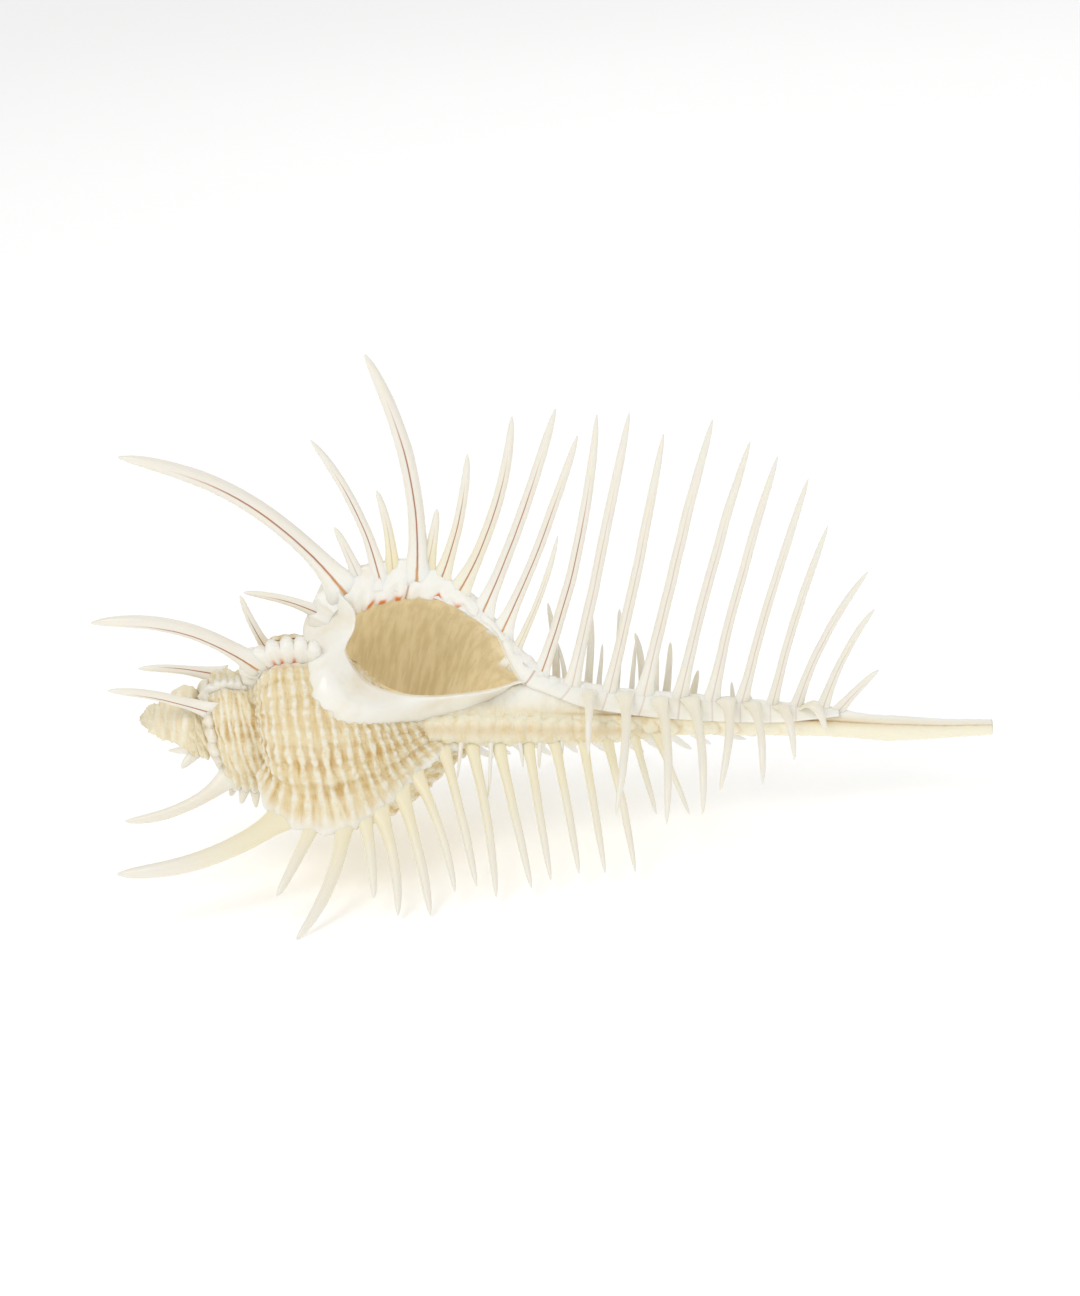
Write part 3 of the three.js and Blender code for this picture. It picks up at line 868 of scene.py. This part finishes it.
def makeOldCanal():
    # what is left of the canal from before the last turn, scaly and grown over
    xs = np.arange(oldCanal["from"], oldCanal["to"], oldCanal["step"])
    directions = np.linspace(0, 360, oldCanal["around"], endpoint=False)
    x, d = np.meshgrid(xs, directions, indexing="ij")
    scales = np.sin(x * math.pi / oldCanal["scaleSpacing"] + np.cos(np.radians(d - 90)) * 1.1)
    radius = readList(oldCanal["radius"], x) + oldCanal["scaleHeight"] * np.abs(scales) ** 3
    points = ringPoint(x, radius, d, oldCanal["aside"])
    points[..., 2] += readList(oldCanal["lift"], x)
    marks = {
        "along": d / 360 * 14, "turned": x * 6.0, "path": x * 2.5, "size": 0.5, "enamel": 0.0,
        "groove": near(d, 95, 25) * 0.5, "relief": 1.0,
    }
    return gridPiece("old_canal", points, marks, "ribbed", closed=True)


pieces.append(giveRelief(makeOldCanal(), {"Rib Height": 0.0}, "canal"))
print("lip, aperture, callus and canal ready")

# each spine: root along the axis, root from the axis, length, lean towards the canal in degrees, bow, width
combs = {
    "lip": [
        (31, 22, 38.6, -58.2, 4.5, 2.9), (33.9, 23.1, 9, -24, 0.2, 1.4),
        (36.6, 23.4, 23.7, -24.5, 1.6, 1.7), (38.5, 24.3, 13, -9.5, 0.6, 1.5),
        (41.9, 23.7, 35.3, -11.8, 2.8, 2.6), (43.4, 25.2, 9.2, 10, 0.3, 1.5),
        (45.3, 23.2, 20, 12.2, 1, 1.7), (48, 21.6, 28.3, 16.5, 1.9, 1.9),
        (51.8, 18.2, 33.5, 18.7, 0.7, 1.9), (54.9, 15.4, 32.3, 19.8, 0.6, 1.7),
        (56, 10.3, 21, 19.5, 0.8, 1.1), (60, 6.3, 43.7, 11.5, 1.7, 1.8),
        (65.3, 4.6, 45.6, 10.5, 0.2, 1.8), (70.8, 3.1, 43.8, 10.4, 0.4, 1.7),
        (76.5, 3.9, 45.6, 12, -0.3, 1.8), (82, 3.2, 43, 12.9, -0.6, 1.7),
        (86.9, 3.2, 40.6, 12.6, -0.6, 1.6), (91.3, 2.5, 38.1, 13.8, -0.4, 1.5),
        (96, 1.7, 31.4, 14, -0.7, 1.4), (99.8, 1.8, 25.3, 23.3, -1.5, 1.4),
        (103.9, 2.3, 18.3, 22.8, -1.1, 1.3), (105.8, 2.4, 9.2, 40, -0.4, 1.2)],
    "left": [
        (23.4, 16.5, 26.9, -65.7, 3, 3), (27.4, 17, 14.5, -20, 0.4, 1.8), (31.4, 16.6, 22, -15.5, 2, 2.1),
        (34.1, 16.6, 14.4, 9, 0.5, 1.6), (36.3, 15.8, 18.3, 11.5, 1, 1.7),
        (39.4, 12.3, 22.1, 14, 0.6, 1.7), (41.5, 9.6, 21.3, 18.3, 1, 1.4),
        (45.8, 4.4, 25.4, 13, 0.2, 1.5), (50, 3.8, 27.6, 9.3, 0.6, 1.5), (54.2, 3.8, 26.4, 12, 0, 1.5),
        (58.7, 3.5, 25, 8.9, 0, 1.4), (62.7, 3.1, 24.4, 9.5, 0.2, 1.4), (67.2, 2.6, 24.7, 8, 0, 1.3),
        (70.6, 2.2, 25, 10.3, 0.3, 1.3), (74.8, 1.7, 15.5, 13, 0, 1.1), (78.1, 2, 15.7, 19, 0, 1)],
    "hooks": [
        (68.4, 5.1, 11, -1.3, 0, 1.2), (73.6, 5.1, 22.9, -3.5, 0.8, 1.45),
        (78.9, 4.4, 23.7, 1.7, 0.7, 1.45), (83.6, 4.4, 21.7, 3.6, 0.7, 1.45),
        (89.1, 4.2, 16.8, -4.5, 0.9, 1.4), (93, 3.8, 14.9, 4.3, 0.4, 1.3), (97.5, 3.3, 9.2, 10, 0.2, 1.2),
        (101.6, 3.1, 3.6, 36, 0, 1.2)],
    "lipSmall": [
        (64.6, 3.6, 9, -8, 0.6, 0.7), (69.7, 3, 9, 4, 0, 0.7), (74.6, 2.7, 10, 5, 0, 0.7),
        (78.6, 2.6, 8.5, 2, 0, 0.6), (90.6, 2.3, 4, -4, 0, 0.6), (94, 2.2, 3.5, -20, 0, 0.6)],
    "leftSmall": [
        (44.8, 4, 3.5, -20, 0, 0.5), (49.3, 3.8, 8.5, -5, 0, 0.6), (53.3, 3.7, 11.5, -1, 0.3, 0.6),
        (57.4, 3.4, 7, 7, 0, 0.6), (60.8, 3.2, 7, 0, 0, 0.7), (64.3, 3, 5, 0, 0, 0.6)],
    "spikes": [
        (23.4, 15.6, 3.6, -12, 0, 0.8), (25, 16.3, 2.6, -20, 0, 0.7), (29.2, 16.9, 2.6, 10, 0, 0.7),
        (32.6, 16.9, 2.4, 0, 0, 0.7), (33.4, 16.5, 3.2, 15, 0, 0.6)],
    "spireSpikes": [
        (16, 11.2, 1.9, -12, 0, 0.9), (17.4, 11.6, 2.0, 5, 0, 0.8), (19.1, 11.7, 2.6, 12, 0, 0.8),
        (14.6, 10.6, 1.4, -20, 0, 0.8)],
    # the spire's spines also give where their roots stand round the axis, and the way they point
    "spire": [
        (18.4, 12.2, 25.4, -68.5, 4.2, 2.4, 46, 46), (20.6, 12.4, 10.6, -24, -0.5, 1.3, 30, 30),
        (28.4, 17.8, 12.1, -73, 0.8, 1.4, 19, 19), (11, 7.4, 14.8, -75.5, 1, 1.6, 78, 40),
        (11.5, 8, 11.6, -85, 0.5, 1.4, -15, -15), (13.8, 9.4, 16.7, -64, 2, 1.9, 165, 165),
        (9, 5.6, 3.2, -42, 0, 1.2, 170, 170), (7, 4.6, 6, -60, 0.6, 1, -80, -80)],
}
spineForm = {
    "sides": 18, "rings": 24,
    "sunk": 1.2, "deeper": 0.9,        # how far the root is inside the shell, mm
    "flare": 1.9, "flareLength": 2.6,  # how much wider the root is, and over what length
    "wobble": 0.5,
}
spineMarks = ("root", "chord", "bend", "facing", "length", "bow", "width", "bulge", "seamed", "lemon")
spinePoints = {key: [] for key in spineMarks}


def addSpine(values, direction, aim=None, bulge=0.0, seamed=0.0, lemon=0.0):
    # the root stands in one direction round the axis, and the spine may point in another
    x, radius, length, lean, bow, width = values[:6]
    aim = direction if aim is None else aim
    sag = float(readList(canal["sag"], x)) if x > canal["sag"][0][0] else 0.0
    root = ringPoint(x, radius - spineForm["sunk"], direction, sag)
    aimWay, leanBy = math.radians(aim), math.radians(lean)
    out = np.array([0, math.cos(aimWay), math.sin(aimWay)])
    facing = np.array([0, math.cos(aimWay + math.pi / 2), math.sin(aimWay + math.pi / 2)])
    axis = np.array([1.0, 0, 0])
    chord = axis * math.sin(leanBy) + out * math.cos(leanBy)
    root = root - chord * spineForm["deeper"]
    ways = [chord, axis * math.cos(leanBy) - out * math.sin(leanBy), facing]
    sizes = [length + spineForm["sunk"] + spineForm["deeper"], bow, width, bulge]
    made = [toFloor(root), *(turnToFloor @ way for way in ways), *(size / 1000 for size in sizes)]
    for key, value in zip(spineMarks, [*made, seamed, lemon]):
        spinePoints[key].append(value)


def smaller(comb, size, lengthShare):
    made = []
    for x, r, length, lean, bow, width in comb:
        made.append((x * size, r * size, length * lengthShare, lean, bow * size, width * size))
    return made


# how the combs are set round the shell; the ones behind it are smaller copies of the lip's
setting = {
    "strongSeam": (0, 2, 4, 6, 7, 8, 9, 11), "weakSeam": 0.35,
    "yellow": {3: 1.0, 5: 1.0, 6: 0.35, 7: 0.35, 10: 0.35},
    "backLength": 0.8,            # length share of the comb behind the shell
    "leftHooks": (0.74, 0.6),     # size and length share of the hooks on the left comb
    "hookTurn": 118,              # hooks point this far round from their comb
    "hookBulge": {"lip": -3.2, "back": -2.4, "left": -1.8},
    "lipSmall": (-38, -30),       # root and aim from the comb's direction
    "leftSmall": (-68, 18),
    "spikes": 3,
    "spireSpikes": 172,
}
lipAt, backAt, leftAt = whorl["lipDirection"], whorl["backDirection"], whorl["leftDirection"]
backSize = float(growth(120))
hookTurn, hookBulge = setting["hookTurn"], setting["hookBulge"]
for i, values in enumerate(combs["lip"]):
    seamed = 1.0 if i in setting["strongSeam"] else setting["weakSeam"]
    addSpine(values, lipAt, seamed=seamed, lemon=setting["yellow"].get(i, 0.0))
for values in smaller(combs["lip"], backSize, setting["backLength"]):
    addSpine(values, backAt, seamed=0.6)
for values in combs["left"]:
    addSpine(values, leftAt, lemon=0.75)
for values in combs["hooks"]:
    addSpine(values, lipAt, lipAt + hookTurn, hookBulge["lip"], lemon=0.3)
for values in smaller(combs["hooks"], backSize, setting["backLength"]):
    addSpine(values, backAt, backAt + hookTurn, hookBulge["back"])
for values in smaller(combs["hooks"], *setting["leftHooks"]):
    addSpine(values, leftAt, leftAt + hookTurn, hookBulge["left"])
for values in combs["lipSmall"]:
    addSpine(values, *(lipAt + turn for turn in setting["lipSmall"]))
for values in combs["leftSmall"]:
    addSpine(values, *(leftAt + turn for turn in setting["leftSmall"]))
for values in combs["spikes"]:
    addSpine(values, leftAt + setting["spikes"])
for values in combs["spireSpikes"]:
    addSpine(values, setting["spireSpikes"])
for values in combs["spire"]:
    addSpine(values, values[6], values[7], seamed=1.0)


def makeSpineForm():
    # one straight spine of unit length: x across, y to the seamed front, z along
    rings, sides = spineForm["rings"], spineForm["sides"]
    share = np.r_[0, np.linspace(0.035, 1, rings - 1) ** 0.92] * 0.98
    angle = np.linspace(0, 2 * math.pi, sides, endpoint=False) + math.pi / 2
    s, a = np.meshgrid(share, angle, indexing="ij")
    fromFront = (a - math.pi / 2 + math.pi) % (2 * math.pi) - math.pi
    groove = 1 - 0.18 * np.exp(-(fromFront / 0.25) ** 2) * np.clip((0.85 - s) / 0.3, 0, 1)
    taper = (1 - 0.13 * s) * np.sqrt(np.clip(1 - (s / 0.985) ** 6, 0.0004, 1))
    points = np.stack([np.cos(a) * groove * taper, np.sin(a) * groove * taper, s], -1).reshape(-1, 3)
    points = np.vstack([points, [[0, 0, 0], [0, 0, 0.985]]])
    faces = gridFaces(rings, sides, closed=True)
    last = (rings - 1) * sides
    for j in range(sides):
        k = (j + 1) % sides
        faces += [[len(points) - 2, k, j], [len(points) - 1, last + j, last + k]]
    mesh = bpy.data.meshes.new("spine form")
    mesh.from_pydata(points.tolist(), [], faces)
    frontMark = np.r_[np.clip(1 - np.abs(fromFront) / (2 * math.pi / sides), 0, 1).ravel(), 0, 0]
    for key, values in (("share", points[:, 2]), ("front", frontMark)):
        mesh.attributes.new(key, "FLOAT", "POINT").data.foreach_set("value", values.astype(np.float32))
    mesh.polygons.foreach_set("use_smooth", [True] * len(mesh.polygons))
    return inScene("spine form", mesh)


def spineTree():
    given, result = newTree("spines", [
        ("Spine Form", "Object", None), ("Flare", "Float", 1.0), ("Flare Length", "Float", 0.0022),
        ("Wobble", "Float", 0.0002), ("Seed", "Float", 2.0), ("Finish", "Material", None)])
    form = add("GeometryNodeObjectInfo", {"Object": given["Spine Form"]}).outputs["Geometry"]
    points = {"Points": given["Geometry"], "Instance": form}
    placed = add("GeometryNodeInstanceOnPoints", points).outputs[0]
    unturned = add("GeometryNodeRealizeInstances", {"Geometry": placed}).outputs[0]
    share = named("share")
    position = add("GeometryNodeInputPosition").outputs[0]
    start = named("startPoint", "FLOAT_VECTOR")
    local = add("ShaderNodeSeparateXYZ", {0: vectorCalc("SUBTRACT", position, start)}).outputs
    root, chord, bend, facing = (named(n, "FLOAT_VECTOR") for n in ("root", "chord", "bend", "facing"))
    length, bow, width, bulge = (named(n) for n in ("length", "bow", "width", "bulge"))

    # a parabola along the chord gives the centre line, and its slope the way that the line runs
    arch = times(times(share, 4.0), calc("SUBTRACT", 1.0, share))
    slope = timesPlus(share, -8.0, 4.0)
    centre = vectorPlus(root, scaled(chord, times(length, share)))
    centre = vectorPlus(centre, scaled(bend, times(bow, arch)))
    centre = vectorPlus(centre, scaled(facing, times(bulge, arch)))
    run = vectorPlus(scaled(chord, length), scaled(bend, times(bow, slope)))
    run = vectorPlus(run, scaled(facing, times(bulge, slope)))
    across = vectorCalc("NORMALIZE", vectorCalc("CROSS_PRODUCT", facing, run))
    ahead = vectorCalc("NORMALIZE", vectorCalc("CROSS_PRODUCT", run, across))

    # wide and flat at the root, round further out
    fromRoot = times(times(length, share), -1.0)
    fade = calc("EXPONENT", calc("DIVIDE", fromRoot, given["Flare Length"]))
    half = times(width, 0.5)
    wide = times(half, timesPlus(fade, given["Flare"], 1.0))
    deep = times(half, timesPlus(fade, -0.55, 1.0))
    place = vectorPlus(centre, scaled(across, times(local[0], wide)))
    place = vectorPlus(place, scaled(ahead, times(local[1], deep)))
    noiseAt = vectorPlus(scaled(place, 90.0), vectorOf(given["Seed"]))
    drift = vectorCalc("SUBTRACT", treeNoise(noiseAt, 2.0)[1], (0.5, 0.5, 0.5))
    drift = scaled(drift, times(given["Wobble"], arch))
    place = vectorPlus(place, drift)
    bent = add("GeometryNodeSetPosition", {"Geometry": unturned, "Position": place}).outputs[0]
    return endTree(bent, given["Finish"], result)


def makeSpines():
    count = len(spinePoints["root"])
    mesh = bpy.data.meshes.new("spines")
    mesh.from_pydata([(0, 0, 0)] * count, [], [])
    spinePoints["startPoint"] = [(0, 0, 0)] * count
    for key, values in spinePoints.items():
        kind, field = ("FLOAT_VECTOR", "vector") if np.ndim(values) == 2 else ("FLOAT", "value")
        layer = mesh.attributes.new(key, kind, "POINT")
        layer.data.foreach_set(field, np.asarray(values, np.float32).ravel())
    piece = inScene("spines", mesh)
    form = makeSpineForm()
    tree = spineTree()
    modifier = piece.modifiers.new("spines", "NODES")
    modifier.node_group = tree
    setInputs(modifier, tree, {
        "Spine Form": form, "Flare": spineForm["flare"], "Flare Length": spineForm["flareLength"] / 1000,
        "Wobble": spineForm["wobble"] / 1000, "Seed": 2.0, "Finish": materials["spine"]})
    madePlain(piece)
    bpy.data.objects.remove(form)
    return piece


pieces.append(makeSpines())
print("spines ready:", len(spinePoints["root"]))

for piece in pieces:
    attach(piece, "root")
    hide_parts("murex_shell")
    print(piece.name, len(piece.data.vertices), len(piece.data.polygons))

# even light on a pale floor
studio = {
    "sky": 0.66,
    "lamps": [  # name, place in metres, width and power
        ("key", (-0.35, -0.45, 0.75), 0.5, 2.1),
        ("fill", (0.6, -0.5, 0.4), 0.7, 0.5),
        ("rim", (0.1, 0.7, 0.6), 0.6, 0.5)],
    "floorHalf": 6,
    "floorGlow": 0.24,
}


def makeFloor():
    half = studio["floorHalf"]
    mesh = bpy.data.meshes.new("floor")
    corners = [(-half, -half, 0), (half, -half, 0), (half, half, 0), (-half, half, 0)]
    mesh.from_pydata(corners, [], [(0, 1, 2, 3)])
    floor = inScene("floor", mesh)
    material, shader = newMaterial("pale floor")
    colour = tinted(noise(6, 2), (0.93, 0.93, 0.925), (0.955, 0.955, 0.95))
    plug(shader.inputs["Base Color"], colour)
    shader.inputs["Roughness"].default_value = 0.75
    shader.inputs["Emission Color"].default_value = (1, 1, 1, 1)
    shader.inputs["Emission Strength"].default_value = studio["floorGlow"]
    floor.data.materials.append(material)


makeFloor()
world = bpy.data.worlds.new("studio")
world.use_nodes = True
world.node_tree.nodes["Background"].inputs[0].default_value = (1, 1, 1, 1)
world.node_tree.nodes["Background"].inputs[1].default_value = studio["sky"]
bpy.context.scene.world = world


def aimAt(thing, place, target, upHint=(0, 0, 1)):
    back = np.array(place, float) - np.array(target, float)
    back /= np.linalg.norm(back)
    right = np.cross(upHint, back)
    right /= np.linalg.norm(right)
    turn = np.array([right, np.cross(back, right), back]).T
    rows = [[*turn[i], place[i]] for i in range(3)]
    thing.matrix_world = Matrix([*rows, [0, 0, 0, 1]])


for name, place, side, power in studio["lamps"]:
    light = bpy.data.lights.new(name, "AREA")
    light.shape, light.size, light.energy = "DISK", side, power
    aimAt(inScene(name, light), place, (0, 0, 0.02))

# the camera looks straight down the z axis of the shell's own frame; millimetres and degrees
view = {"distance": 470.0, "centre": (60.79, 11.35), "roll": 0.47, "wide": 165.4, "sensor": 36}
cameraData = bpy.data.cameras.new("camera")
cameraData.sensor_fit = "HORIZONTAL"
cameraData.sensor_width = view["sensor"]
cameraData.lens = view["sensor"] * view["distance"] / view["wide"]
cameraData.clip_start, cameraData.clip_end = 0.01, 30
camera = inScene("camera", cameraData)
roll = math.radians(view["roll"])
target = toFloor([*view["centre"], 0.0])
eye = toFloor([*view["centre"], view["distance"]])
aimAt(camera, eye, target, turnToFloor @ np.array([-math.sin(roll), math.cos(roll), 0]))
bpy.context.scene.camera = camera
bpy.context.scene.view_settings.view_transform = "Standard"
